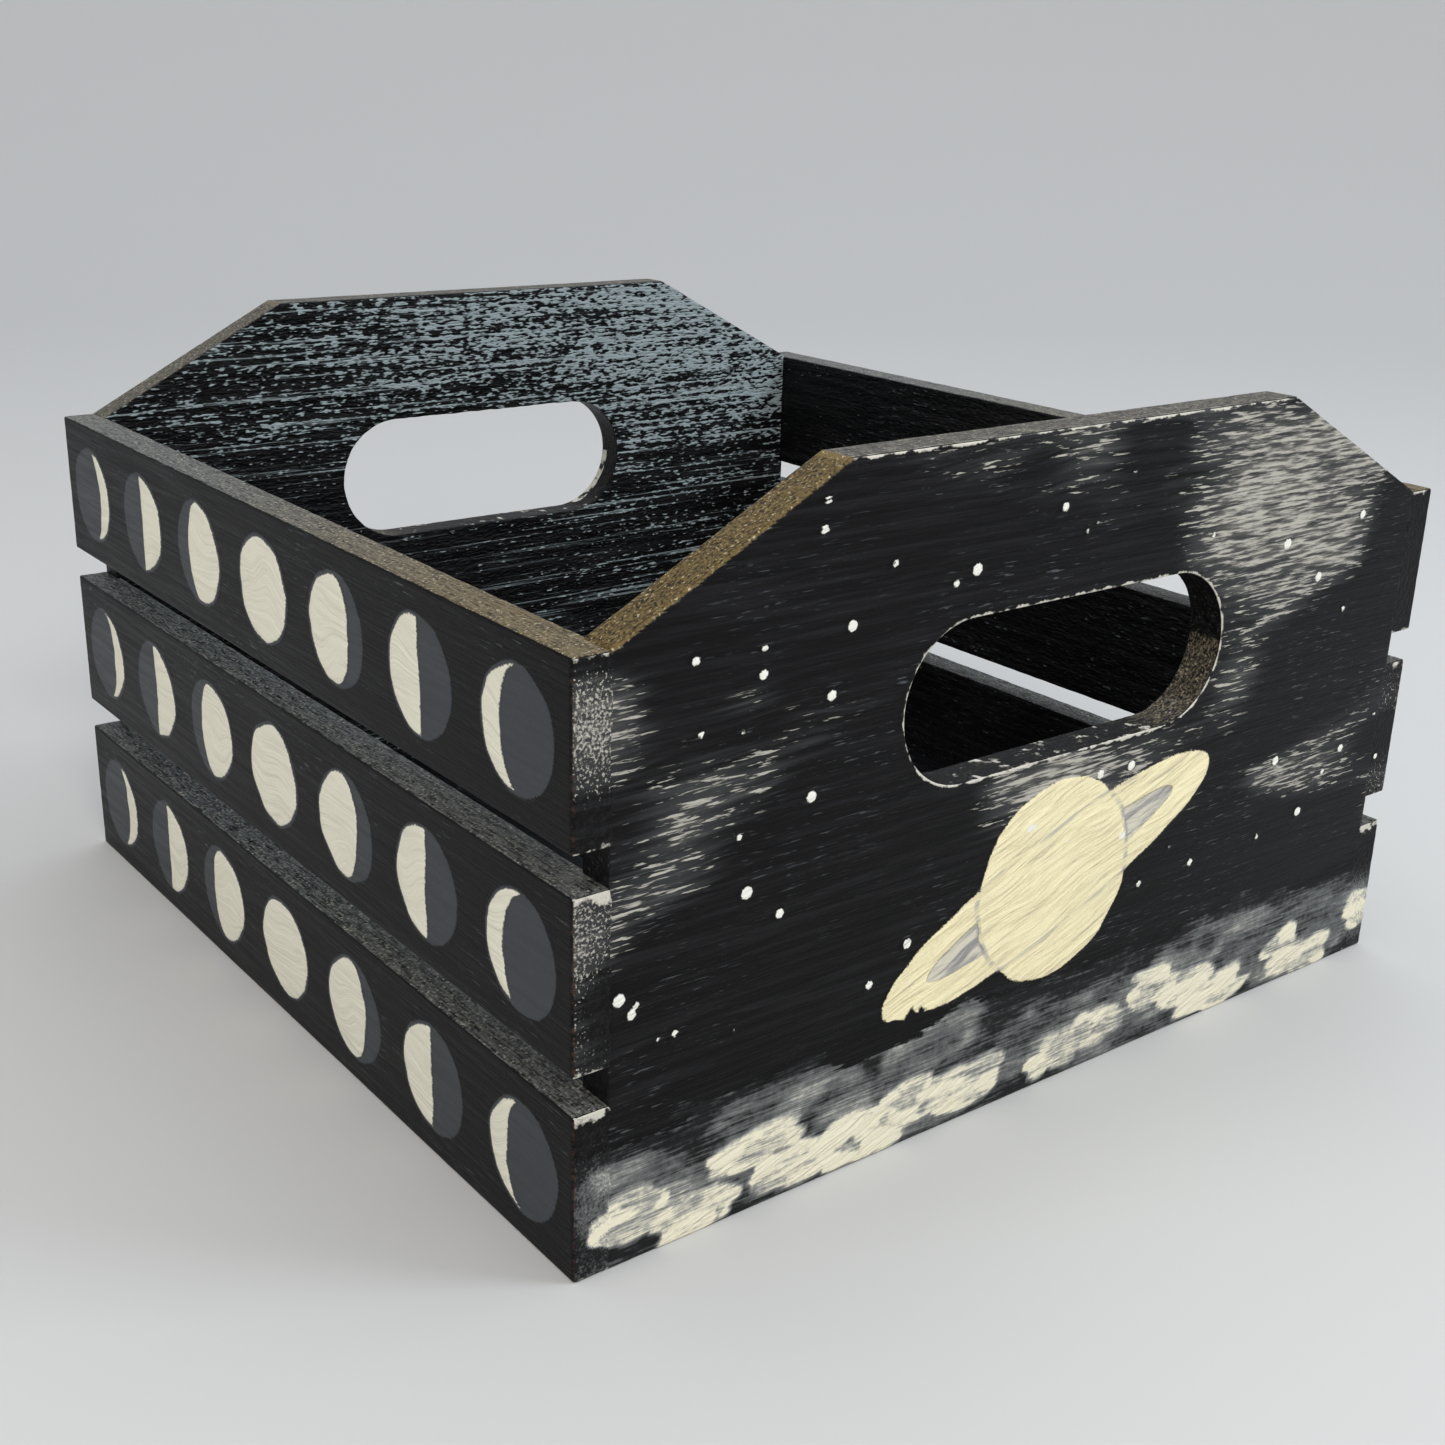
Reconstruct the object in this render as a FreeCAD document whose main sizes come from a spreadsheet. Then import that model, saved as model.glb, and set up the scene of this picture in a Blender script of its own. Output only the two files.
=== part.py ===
import FreeCAD, Part
import math
import os

import Sketcher

# A slatted wooden crate with two peaked end boards.  Each end board has a stadium-shaped
# hand hole.  Three slats close each long side and lap over the end boards' edges, five
# slats make the floor between the end boards, and small wire brads hold them all.
#
# Frame: millimetres, +Z up.  The origin is the centre of the footprint, on the plane
# that the crate stands on.  The slats run along Y, and the end boards face -Y and +Y.

doc = FreeCAD.newDocument("slatted_crate")

# ---------------------------------------------------------------- driving dimensions

DIMENSIONS = [
    ("crate_length", 264.0, "outside size along the side slats, Y"),
    ("crate_width", 264.0, "outside size across the end boards, X"),
    ("stock", 9.0, "thickness of every board and slat"),
    ("slat_height", 38.0, "width of the slat strip"),
    ("slat_gap", 8.5, "open gap between side slats"),
    ("peak_height", 160.0, "top of the end boards"),
    ("peak_width", 138.0, "flat top edge of the end boards"),
    ("hole_length", 102.0, "hand hole, end to end"),
    ("hole_height", 37.0, "hand hole, top to bottom"),
    ("hole_centre", 104.0, "height of the hand hole's centre"),
    ("edge_radius", 0.6, "sanded edges of slats and hand holes"),
    ("brad_length", 25.0, "brad, from the top of its head to its tip"),
    ("brad_radius", 0.7, "brad shank"),
    ("brad_head_radius", 1.1, "brad head"),
    ("brad_head_depth", 0.8, "thickness of the brad head"),
    ("brad_point", 2.0, "length of the brad's point"),
    ("brad_tip_radius", 0.15, "blunt tip of the point"),
    ("brad_spread", 9.5, "brad to the slat's centre line"),
]
SIDE_LEVELS = ["lower", "middle", "upper"]
FLOOR_SLATS = 5

sheet = doc.addObject("Spreadsheet::Sheet", "Sizes")
for row, (alias, value, meaning) in enumerate(DIMENSIONS, start=1):
    sheet.set(f"A{row}", alias)
    sheet.set(f"B{row}", str(value))
    sheet.set(f"C{row}", meaning)
    sheet.setAlias(f"B{row}", alias)
doc.recompute()

# Formulas that several pieces share, in terms of the sheet's cells.
HALF_WIDTH = "(Sizes.crate_width / 2)"
HALF_LENGTH = "(Sizes.crate_length / 2)"
HALF_STOCK = "(Sizes.stock / 2)"
INNER_WIDTH = "(Sizes.crate_width - 2 * Sizes.stock)"
INNER_LENGTH = "(Sizes.crate_length - 2 * Sizes.stock)"
LEVEL_PITCH = "(Sizes.slat_height + Sizes.slat_gap)"
SHOULDER_HEIGHT = f"({len(SIDE_LEVELS) - 1} * {LEVEL_PITCH} + Sizes.slat_height)"
FLOOR_GAP = f"(({INNER_WIDTH} - {FLOOR_SLATS} * Sizes.slat_height) / {FLOOR_SLATS + 1})"
FLOOR_PITCH = f"(Sizes.slat_height + {FLOOR_GAP})"


# ---------------------------------------------------------------- shared construction

def place(thing, x="0", y="0", z="0"):
    """Bind a sub-part's position to formulas in millimetres."""
    for axis, formula in zip("xyz", (x, y, z)):
        thing.setExpression(f"Placement.Base.{axis}", f"({formula}) * 1 mm")


def upright_sketch(body, name):
    """Start a sketch on the body's XZ plane: sketch x is +X and sketch y is +Z."""
    sketch = body.newObject("Sketcher::SketchObject", name)
    plane = next(item for item in body.Origin.OriginFeatures if item.Role == "XZ_Plane")
    sketch.AttachmentSupport = [(plane, "")]
    sketch.MapMode = "FlatFace"
    return sketch


def closed_outline(sketch, points):
    """Draw straight edges through points and join their corners into a loop."""
    corners = [FreeCAD.Vector(x, z, 0) for x, z in points]
    count = len(corners)
    for edge in range(count):
        sketch.addGeometry(Part.LineSegment(corners[edge], corners[(edge + 1) % count]), False)
    for edge in range(count):
        sketch.addConstraint(Sketcher.Constraint("Coincident", edge, 2, (edge + 1) % count, 1))


def dimension(sketch, name, formula, kind, *places):
    """Add a named dimension to the sketch and bind it to a formula."""
    drawn = {
        "DistanceX": lambda a, b: b.x - a.x,
        "DistanceY": lambda a, b: b.y - a.y,
    }
    if kind == "Radius":
        start_value = sketch.Geometry[places[0]].Radius
    else:
        first = sketch.getPoint(places[0], places[1])
        second = sketch.getPoint(places[2], places[3])
        start_value = drawn[kind](first, second)
    index = sketch.addConstraint(Sketcher.Constraint(kind, *places, start_value))
    sketch.renameConstraint(index, name)
    sketch.setExpression(f"Constraints.{name}", f"({formula}) * 1 mm")


def pad(body, sketch, name, depth):
    """Raise the sketch by a formula's depth, towards -Y."""
    feature = body.newObject("PartDesign::Pad", name)
    feature.Profile = sketch
    feature.setExpression("Length", f"({depth}) * 1 mm")
    return feature


def eased(body, base, name, wanted):
    """Round the base feature's edges that pass the test, by the sanding radius."""
    doc.recompute()
    names = [f"Edge{i}" for i, edge in enumerate(base.Shape.Edges, start=1) if wanted(edge)]
    fillet = body.newObject("PartDesign::Fillet", name)
    fillet.Base = (base, names)
    fillet.setExpression("Radius", "Sizes.edge_radius * 1 mm")
    return fillet


# ---------------------------------------------------------------- slats

def slat_blank(label, wide, high):
    """A straight strip along Y, centred on x = 0, from y = 0 towards -Y, z from 0 up."""
    body = doc.addObject("PartDesign::Body", f"{label}_blank")
    section = upright_sketch(body, f"{label}_section")
    closed_outline(section, [(-4, 0), (4, 0), (4, 8), (-4, 8)])
    section.addConstraint(Sketcher.Constraint("PointOnObject", 0, 1, -1))
    section.addConstraint(Sketcher.Constraint("Symmetric", 0, 1, 0, 2, -2))
    section.addConstraint(Sketcher.Constraint("Vertical", 1))
    section.addConstraint(Sketcher.Constraint("Vertical", 3))
    section.addConstraint(Sketcher.Constraint("Horizontal", 2))
    dimension(section, "wide", wide, "DistanceX", 0, 1, 0, 2)
    dimension(section, "high", high, "DistanceY", 0, 2, 1, 2)
    return body, section


def side_slat(label, side, level):
    """A strip on edge outside the end boards, as long as the crate."""
    body, section = slat_blank(label, "Sizes.stock", "Sizes.slat_height")
    strip = pad(body, section, f"{label}_strip", "Sizes.crate_length")
    eased(body, strip, f"{label}_edges", runs_along_y)
    place(
        body,
        x=f"{side} * ({HALF_WIDTH} - {HALF_STOCK})",
        y=HALF_LENGTH,
        z=f"{level} * {LEVEL_PITCH}",
    )
    return body


def floor_slat(label, number):
    """A strip laid flat between the end boards, level with their lower edges."""
    body, section = slat_blank(label, "Sizes.slat_height", "Sizes.stock")
    strip = pad(body, section, f"{label}_strip", INNER_LENGTH)
    eased(body, strip, f"{label}_edges", runs_along_y)
    place(
        body,
        x=floor_slat_centre(number),
        y=f"{INNER_LENGTH} / 2",
    )
    return body


def runs_along_y(edge):
    """True for a slat's long edges."""
    return edge.BoundBox.YLength > max(edge.BoundBox.XLength, edge.BoundBox.ZLength)


def floor_slat_centre(number):
    """The X of a floor slat's centre line; the slats and gaps fill the inner width."""
    return f"({number} - {(FLOOR_SLATS - 1) / 2}) * {FLOOR_PITCH}"


# ---------------------------------------------------------------- end boards

def end_board(label, outer_face):
    """A peaked board with a hand hole; outer_face is the Y that its +Y face sits at."""
    body = doc.addObject("PartDesign::Body", f"{label}_blank")
    outline = upright_sketch(body, f"{label}_outline")
    closed_outline(outline, [(-9, 0), (9, 0), (9, 9), (5, 12), (-5, 12), (-9, 9)])
    outline.addConstraint(Sketcher.Constraint("PointOnObject", 0, 1, -1))
    outline.addConstraint(Sketcher.Constraint("Symmetric", 0, 1, 0, 2, -2))
    outline.addConstraint(Sketcher.Constraint("Symmetric", 3, 1, 3, 2, -2))
    outline.addConstraint(Sketcher.Constraint("Vertical", 1))
    outline.addConstraint(Sketcher.Constraint("Vertical", 5))
    outline.addConstraint(Sketcher.Constraint("Equal", 1, 5))
    dimension(outline, "foot", INNER_WIDTH, "DistanceX", 0, 1, 0, 2)
    dimension(outline, "flat_top", "Sizes.peak_width", "DistanceX", 3, 2, 3, 1)
    dimension(outline, "shoulder", SHOULDER_HEIGHT, "DistanceY", 1, 1, 1, 2)
    dimension(outline, "peak", "Sizes.peak_height", "DistanceY", 1, 1, 3, 1)
    plate = pad(body, outline, f"{label}_plate", "Sizes.stock")

    hole = upright_sketch(body, f"{label}_hand_hole_outline")
    draw_stadium(hole)
    pocket = body.newObject("PartDesign::Pocket", f"{label}_hand_hole")
    pocket.Profile = hole
    pocket.Type = "ThroughAll"
    pocket.Reversed = True
    eased(body, pocket, f"{label}_hole_edges", is_hand_hole_rim)
    check_hand_hole(plate.Shape, pocket.Shape)
    place(body, y=outer_face)
    return body


def draw_stadium(sketch):
    """Two half circles joined by two level lines, on the board's centre line."""
    radius = size("hole_height") / 2
    half_run = size("hole_length") / 2 - radius
    middle = size("hole_centre")
    normal = FreeCAD.Vector(0, 0, 1)
    left = Part.Circle(FreeCAD.Vector(-half_run, middle, 0), normal, radius)
    right = Part.Circle(FreeCAD.Vector(half_run, middle, 0), normal, radius)
    sketch.addGeometry(Part.ArcOfCircle(left, math.pi / 2, 3 * math.pi / 2), False)
    sketch.addGeometry(Part.ArcOfCircle(right, -math.pi / 2, math.pi / 2), False)
    for start, end, height in [(-half_run, half_run, -radius), (half_run, -half_run, radius)]:
        line_start = FreeCAD.Vector(start, middle + height, 0)
        line_end = FreeCAD.Vector(end, middle + height, 0)
        sketch.addGeometry(Part.LineSegment(line_start, line_end), False)
    for joint in [(0, 2, 2, 1), (2, 2, 1, 1), (1, 2, 3, 1), (3, 2, 0, 1)]:
        sketch.addConstraint(Sketcher.Constraint("Tangent", *joint))
    sketch.addConstraint(Sketcher.Constraint("Equal", 0, 1))
    sketch.addConstraint(Sketcher.Constraint("Symmetric", 0, 3, 1, 3, -2))
    dimension(sketch, "end_radius", "Sizes.hole_height / 2", "Radius", 0)
    dimension(sketch, "run", "Sizes.hole_length - Sizes.hole_height", "DistanceX", 0, 3, 1, 3)
    dimension(sketch, "centre", "Sizes.hole_centre", "DistanceY", -1, 1, 0, 3)


def size(alias):
    """The number in one of the sheet's cells."""
    return float(sheet.get(alias))


def is_hand_hole_rim(edge):
    """True for the edges of the hand hole that lie in the board's two faces."""
    box = edge.BoundBox
    inside_across = max(abs(box.XMin), abs(box.XMax)) < size("hole_length") / 2 + 1
    above_foot = box.ZMin > size("hole_centre") - size("hole_height") / 2 - 1
    below_peak = box.ZMax < size("hole_centre") + size("hole_height") / 2 + 1
    return inside_across and above_foot and below_peak and box.YLength < 1


def check_hand_hole(solid_plate, cut_plate):
    """Stop unless the pocket took out the whole stadium."""
    radius = size("hole_height") / 2
    run = size("hole_length") - size("hole_height")
    expected = (math.pi * radius ** 2 + run * size("hole_height")) * size("stock")
    removed = solid_plate.Volume - cut_plate.Volume
    if abs(removed - expected) > 0.001 * expected:
        raise RuntimeError(f"hand hole took out {removed:.0f} mm3, not {expected:.0f} mm3")


# ---------------------------------------------------------------- brads

# The turn that points a brad, drawn along +Z, into the wood from each side of the crate.
INTO_WOOD = {
    "left": FreeCAD.Rotation(FreeCAD.Vector(0, 1, 0), 90),
    "right": FreeCAD.Rotation(FreeCAD.Vector(0, 1, 0), -90),
    "front": FreeCAD.Rotation(FreeCAD.Vector(1, 0, 0), -90),
    "rear": FreeCAD.Rotation(FreeCAD.Vector(1, 0, 0), 90),
}


def brad(name, facing, x, y, z):
    """One brad: flat head flush with the wood, round shank, blunt conical point."""
    head = doc.addObject("Part::Cylinder", f"{name}_head")
    head.setExpression("Radius", "Sizes.brad_head_radius * 1 mm")
    head.setExpression("Height", "Sizes.brad_head_depth * 1 mm")
    shank = doc.addObject("Part::Cylinder", f"{name}_shank")
    shank.setExpression("Radius", "Sizes.brad_radius * 1 mm")
    shank.setExpression("Height", "(Sizes.brad_length - Sizes.brad_point) * 1 mm")
    point = doc.addObject("Part::Cone", f"{name}_point")
    point.setExpression("Radius1", "Sizes.brad_radius * 1 mm")
    point.setExpression("Radius2", "Sizes.brad_tip_radius * 1 mm")
    point.setExpression("Height", "Sizes.brad_point * 1 mm")
    place(point, z="Sizes.brad_length - Sizes.brad_point")
    whole = doc.addObject("Part::MultiFuse", name)
    whole.Shapes = [head, shank, point]
    whole.Placement = FreeCAD.Placement(FreeCAD.Vector(0, 0, 0), INTO_WOOD[facing])
    place(whole, x, y, z)
    return whole


def group(label, pieces):
    """Keep like fasteners together as one sub-part of separate solids."""
    compound = doc.addObject("Part::Compound", label)
    compound.Links = pieces
    compound.Label = label
    return compound


def side_slat_brads(label, facing, side):
    """Two brads at each end of each side slat, into the end boards' edges."""
    pieces = []
    for level in range(len(SIDE_LEVELS)):
        for end in (-1, 1):
            for row in (-1, 1):
                pieces.append(brad(
                    f"{label}_{len(pieces) + 1}",
                    facing,
                    x=f"{side} * {HALF_WIDTH}",
                    y=f"{end} * ({HALF_LENGTH} - {HALF_STOCK})",
                    z=f"{level} * {LEVEL_PITCH} + Sizes.slat_height / 2 + {row} * Sizes.brad_spread",
                ))
    return group(label, pieces)


def floor_slat_brads(label, facing, end):
    """Two brads into one end of each floor slat, through an end board."""
    pieces = []
    for number in range(FLOOR_SLATS):
        for row in (-1, 1):
            pieces.append(brad(
                f"{label}_{len(pieces) + 1}",
                facing,
                x=f"{floor_slat_centre(number)} + {row} * Sizes.brad_spread",
                y=f"{end} * {HALF_LENGTH}",
                z=HALF_STOCK,
            ))
    return group(label, pieces)


# ---------------------------------------------------------------- assembly

brad_groups = [
    side_slat_brads("left_slat_brads", "left", -1),
    side_slat_brads("right_slat_brads", "right", 1),
    floor_slat_brads("front_floor_brads", "front", -1),
    floor_slat_brads("rear_floor_brads", "rear", 1),
]
all_brads = group("all_brads", brad_groups)

blanks = {
    "front_end_board": end_board("front_end_board", f"Sizes.stock - {HALF_LENGTH}"),
    "rear_end_board": end_board("rear_end_board", HALF_LENGTH),
}
for side_name, side in (("left", -1), ("right", 1)):
    for level, level_name in enumerate(SIDE_LEVELS):
        slat_name = f"{side_name}_{level_name}_slat"
        blanks[slat_name] = side_slat(slat_name, side, level)
for number in range(FLOOR_SLATS):
    slat_name = f"floor_slat_{number + 1}"
    blanks[slat_name] = floor_slat(slat_name, number)

# The brads are driven into the finished blanks, so each blank is cut by their shapes.
sub_parts = list(brad_groups)
for name, blank in blanks.items():
    nailed = doc.addObject("Part::Cut", name)
    nailed.Base = blank
    nailed.Tool = all_brads
    nailed.Label = name
    sub_parts.append(nailed)

doc.recompute()

# ---------------------------------------------------------------- checks and export

for item in doc.Objects:
    if "Invalid" in item.State or "Error" in item.State:
        raise RuntimeError(f"{item.Label} failed: {item.State}")

os.makedirs("parts", exist_ok=True)
for sub_part in sub_parts:
    shape = sub_part.Shape
    if shape.isNull() or not shape.isValid():
        raise RuntimeError(f"{sub_part.Label} has no valid shape")
    shape.exportStep(f"parts/{sub_part.Label}.step")
    box = shape.BoundBox
    print(
        f"{sub_part.Label}: {len(shape.Solids)} solids, {shape.Volume:.1f} mm3, "
        f"x {box.XMin:.2f}..{box.XMax:.2f}, y {box.YMin:.2f}..{box.YMax:.2f}, "
        f"z {box.ZMin:.2f}..{box.ZMax:.2f}"
    )
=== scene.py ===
import math

import bpy
import numpy as np
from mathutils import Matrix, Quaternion, Vector


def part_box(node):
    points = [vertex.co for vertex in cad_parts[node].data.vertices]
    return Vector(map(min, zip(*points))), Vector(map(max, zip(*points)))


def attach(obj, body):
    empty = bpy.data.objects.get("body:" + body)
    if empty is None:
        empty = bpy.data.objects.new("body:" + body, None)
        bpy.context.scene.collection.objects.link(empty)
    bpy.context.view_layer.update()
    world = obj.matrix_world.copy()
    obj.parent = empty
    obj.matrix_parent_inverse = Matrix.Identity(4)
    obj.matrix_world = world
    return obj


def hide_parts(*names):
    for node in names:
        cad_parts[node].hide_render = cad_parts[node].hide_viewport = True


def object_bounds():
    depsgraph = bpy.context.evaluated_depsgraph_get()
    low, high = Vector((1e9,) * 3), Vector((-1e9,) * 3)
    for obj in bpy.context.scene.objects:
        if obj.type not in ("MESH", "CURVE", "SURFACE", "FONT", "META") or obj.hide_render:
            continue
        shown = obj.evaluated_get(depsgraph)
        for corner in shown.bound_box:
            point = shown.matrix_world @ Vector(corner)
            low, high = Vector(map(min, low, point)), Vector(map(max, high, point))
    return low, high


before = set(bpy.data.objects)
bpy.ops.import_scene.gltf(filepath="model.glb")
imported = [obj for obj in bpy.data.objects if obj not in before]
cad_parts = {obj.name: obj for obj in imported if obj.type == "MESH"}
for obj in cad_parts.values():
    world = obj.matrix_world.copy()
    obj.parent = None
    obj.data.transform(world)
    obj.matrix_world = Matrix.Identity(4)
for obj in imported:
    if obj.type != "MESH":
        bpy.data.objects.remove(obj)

cad_low, cad_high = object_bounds()
MM = 0.001

# ---------------------------------------------------------------- camera, floor and lights
# A pale paper sweep, flat under the crate and curving up all round it, lit by soft boxes.
# The camera looks at the near corner from the left of the front, a little above the rim.

VIEW_AZIMUTH = math.radians(-37.85)
VIEW_ELEVATION = math.radians(19.94)
VIEW_ROLL = math.radians(1.57)
VIEW_DISTANCE = 508.9 * MM
AIM_SHIFT = (-2.7, -9.0, -24.1)     # from the middle of the crate to where the camera looks, in mm
LENS = 45.2
SENSOR = 36
crate_middle = (cad_low + cad_high) / 2
aim = crate_middle + Vector(AIM_SHIFT) * MM
looking = Vector((
    -math.sin(VIEW_AZIMUTH) * math.cos(VIEW_ELEVATION),
    math.cos(VIEW_AZIMUTH) * math.cos(VIEW_ELEVATION),
    -math.sin(VIEW_ELEVATION),
))
camera_data = bpy.data.cameras.new("camera")
camera_data.sensor_width = SENSOR
camera_data.lens = LENS
camera = bpy.data.objects.new("camera", camera_data)
camera.location = aim - looking * VIEW_DISTANCE
camera.rotation_mode = "QUATERNION"
camera.rotation_quaternion = looking.to_track_quat("-Z", "Y") @ Quaternion((0, 0, 1), VIEW_ROLL)
bpy.context.scene.collection.objects.link(camera)
bpy.context.scene.camera = camera


def mesh_object(name, points, faces):
    """A smooth-shaded mesh object from an array of points in metres and an array of triangles."""
    mesh = bpy.data.meshes.new(name)
    mesh.vertices.add(len(points))
    mesh.vertices.foreach_set("co", points.astype(np.float32).ravel())
    mesh.loops.add(faces.size)
    mesh.loops.foreach_set("vertex_index", faces.astype(np.int32).ravel())
    mesh.polygons.add(len(faces))
    mesh.polygons.foreach_set("loop_start", np.arange(0, faces.size, 3, dtype=np.int32))
    mesh.polygons.foreach_set("use_smooth", np.ones(len(faces), bool))
    mesh.update(calc_edges=True)
    mesh.validate()
    thing = bpy.data.objects.new(name, mesh)
    bpy.context.scene.collection.objects.link(thing)
    return thing


def grid_faces(rows, columns, first=0):
    """Two triangles for each cell of a grid of points stored row by row, where a whole cell
    turns anticlockwise from its first point along the row."""
    start = first + np.arange(rows - 1)[:, None] * columns + np.arange(columns - 1)[None, :]
    start = start.ravel()
    below = np.stack([start, start + 1, start + columns + 1], 1)
    above = np.stack([start, start + columns + 1, start + columns], 1)
    return np.concatenate([below, above])


# The sweep is a profile turned about Z: flat to FLAT_RADIUS, then a quarter circle up.
FLAT_RADIUS = 1.3
RISE = 1.3
SWEEP_DROP = 0.1 * MM       # keeps the paper just under the crate's base
PROFILE_STEPS = 12
TURN_STEPS = 97
reach = np.concatenate([
    np.linspace(0.002, FLAT_RADIUS, PROFILE_STEPS), np.full(PROFILE_STEPS, FLAT_RADIUS)])
climb = np.concatenate([np.zeros(PROFILE_STEPS), np.linspace(0.05, 1, PROFILE_STEPS)]) * math.pi / 2
profile_radius = reach + RISE * np.sin(climb)
profile_height = RISE * (1 - np.cos(climb)) - SWEEP_DROP
turn = np.linspace(0, 2 * math.pi, TURN_STEPS)
sweep_points = np.stack([
    profile_radius[:, None] * np.cos(turn),
    profile_radius[:, None] * np.sin(turn),
    profile_height[:, None] + 0 * turn,
], -1).reshape(-1, 3)
sweep = mesh_object("paper_sweep", sweep_points, grid_faces(2 * PROFILE_STEPS, TURN_STEPS)[:, ::-1])

paper = bpy.data.materials.new("pale_paper")
paper.use_nodes = True
paper_shader = paper.node_tree.nodes["Principled BSDF"]
paper_shader.inputs["Base Color"].default_value = (0.56, 0.555, 0.54, 1)
paper_shader.inputs["Roughness"].default_value = 0.95
paper_shader.inputs["Specular IOR Level"].default_value = 0.1
sweep.data.materials.append(paper)

world = bpy.data.worlds.new("studio")
world.use_nodes = True
world.node_tree.nodes["Background"].inputs["Color"].default_value = (0.86, 0.9, 1.0, 1)
world.node_tree.nodes["Background"].inputs["Strength"].default_value = 0.52
bpy.context.scene.world = world
bpy.context.scene.view_settings.view_transform = "Standard"


def soft_box(name, place, size, power, colour):
    """A square area light of that size in metres, turned to face the crate."""
    light = bpy.data.lights.new(name, "AREA")
    light.size = size
    light.energy = power
    light.color = colour
    lamp = bpy.data.objects.new(name, light)
    lamp.location = place
    lamp.rotation_mode = "QUATERNION"
    lamp.rotation_quaternion = (crate_middle - Vector(place)).to_track_quat("-Z", "Y")
    bpy.context.scene.collection.objects.link(lamp)


soft_box("overhead_box", (0.7, 0.4, 2.4), 3.4, 38, (0.92, 0.96, 1.0))
soft_box("front_box", (-0.55, -1.25, 0.95), 0.6, 11, (1.0, 0.96, 0.90))
soft_box("left_box", (-1.25, 0.15, 0.75), 0.5, 3.0, (1.0, 0.95, 0.88))
soft_box("inside_box", (0.62, -0.68, 0.85), 0.35, 5, (0.84, 0.93, 1.0))

# ---------------------------------------------------------------- end boards
# Two peaked boards of 9 mm stock, sawn to shape, each with a routed hand hole.  They are
# brushed black and painted with a night sky, and the paint is thick enough to feel.


def smooth_step(value, low, high):
    """0 below low, 1 above high, and an S-shaped blend between them."""
    share = np.clip((value - low) / (high - low), 0, 1)
    return share * share * (3 - 2 * share)


LATTICE = 128       # random values along each side of a field before it repeats


def patches(across, up, wide, high, seed):
    """A smooth random field from -1 to 1: random values on a lattice of cells wide by high,
    blended between with S-shaped weights."""
    values = np.random.default_rng(seed).uniform(-1, 1, (LATTICE, LATTICE))
    across, up = across / wide, up / high
    column, row = np.floor(across).astype(int), np.floor(up).astype(int)
    right, above = smooth_step(across - column, 0, 1), smooth_step(up - row, 0, 1)
    next_column, next_row = (column + 1) % LATTICE, (row + 1) % LATTICE
    column, row = column % LATTICE, row % LATTICE
    here = values[column, row] * (1 - right) + values[next_column, row] * right
    over = values[column, next_row] * (1 - right) + values[next_column, next_row] * right
    return here * (1 - above) + over * above


def rough(across, up, wide, high, seed, octaves=3):
    """Patches added at octaves, each half the size and half the strength of the last."""
    total = 0 * across
    for octave in range(octaves):
        shrink = 2 ** octave
        total = total + patches(
            across + 17.3 * octave, up + 9.1 * octave, wide / shrink, high / shrink, seed + octave
        ) / shrink
    return total


def oval_axes(x, z, middle, turn):
    """Distance along and across an oval's long axis, which is turned by turn."""
    cos, sin = math.cos(turn), math.sin(turn)
    along = (x - middle[0]) * cos + (z - middle[1]) * sin
    return along, (z - middle[1]) * cos - (x - middle[0]) * sin


def inside_oval(x, z, middle, half, turn=0.0):
    """About how far a point lies inside an oval, in mm, negative outside: one minus the
    scaled radius, over that radius's slope."""
    along, across = oval_axes(x, z, middle, turn)
    radius = np.hypot(along / half[0], across / half[1]) + 1e-6
    slope = np.hypot(along / half[0] ** 2, across / half[1] ** 2) / radius
    return (1 - radius) / (slope + 1e-6)


def welded(points, faces):
    """The same triangles with points that coincide made one, flat ones dropped, and all
    turned to face outwards by the sign of the enclosed volume."""
    keys = np.round(points * 1e4).astype(np.int64)
    _, first, index = np.unique(keys, axis=0, return_index=True, return_inverse=True)
    points, faces = points[first], index.ravel()[faces]
    real = (faces[:, 0] != faces[:, 1]) & (faces[:, 1] != faces[:, 2]) & (faces[:, 2] != faces[:, 0])
    used, index = np.unique(faces[real], return_inverse=True)
    points, faces = points[used], index.reshape(-1, 3)
    a, b, c = points[faces[:, 0]], points[faces[:, 1]], points[faces[:, 2]]
    if np.sum(a * np.cross(b, c)) < 0:
        faces = faces[:, ::-1]
    return points, faces


def painted_piece(name, node, points, faces, relief, marks, paint):
    """A wooden piece in mm, moved out along its normals by relief, with the painter's marks
    as attributes.  marks is a function of the points and normals, and relief of its result too."""
    points, faces = welded(points, faces)
    piece = mesh_object(name, points * MM, faces)
    normals = np.empty(len(points) * 3, np.float32)
    piece.data.vertex_normals.foreach_get("vector", normals)
    normals = normals.reshape(-1, 3).astype(float)
    found = marks(points, normals)
    moved = points + normals * relief(points, normals, found)[:, None]
    moved[:, 2] = np.maximum(moved[:, 2], 0)
    piece.data.vertices.foreach_set("co", (moved * MM).astype(np.float32).ravel())
    for mark, values in found.items():
        vector = values.ndim == 2
        attribute = piece.data.attributes.new(mark, "FLOAT_VECTOR" if vector else "FLOAT", "POINT")
        attribute.data.foreach_set("vector" if vector else "value", values.astype(np.float32).ravel())
    piece.data.update()
    piece.data.materials.append(paint)
    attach(piece, "root")
    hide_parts(node)
    return piece


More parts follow.
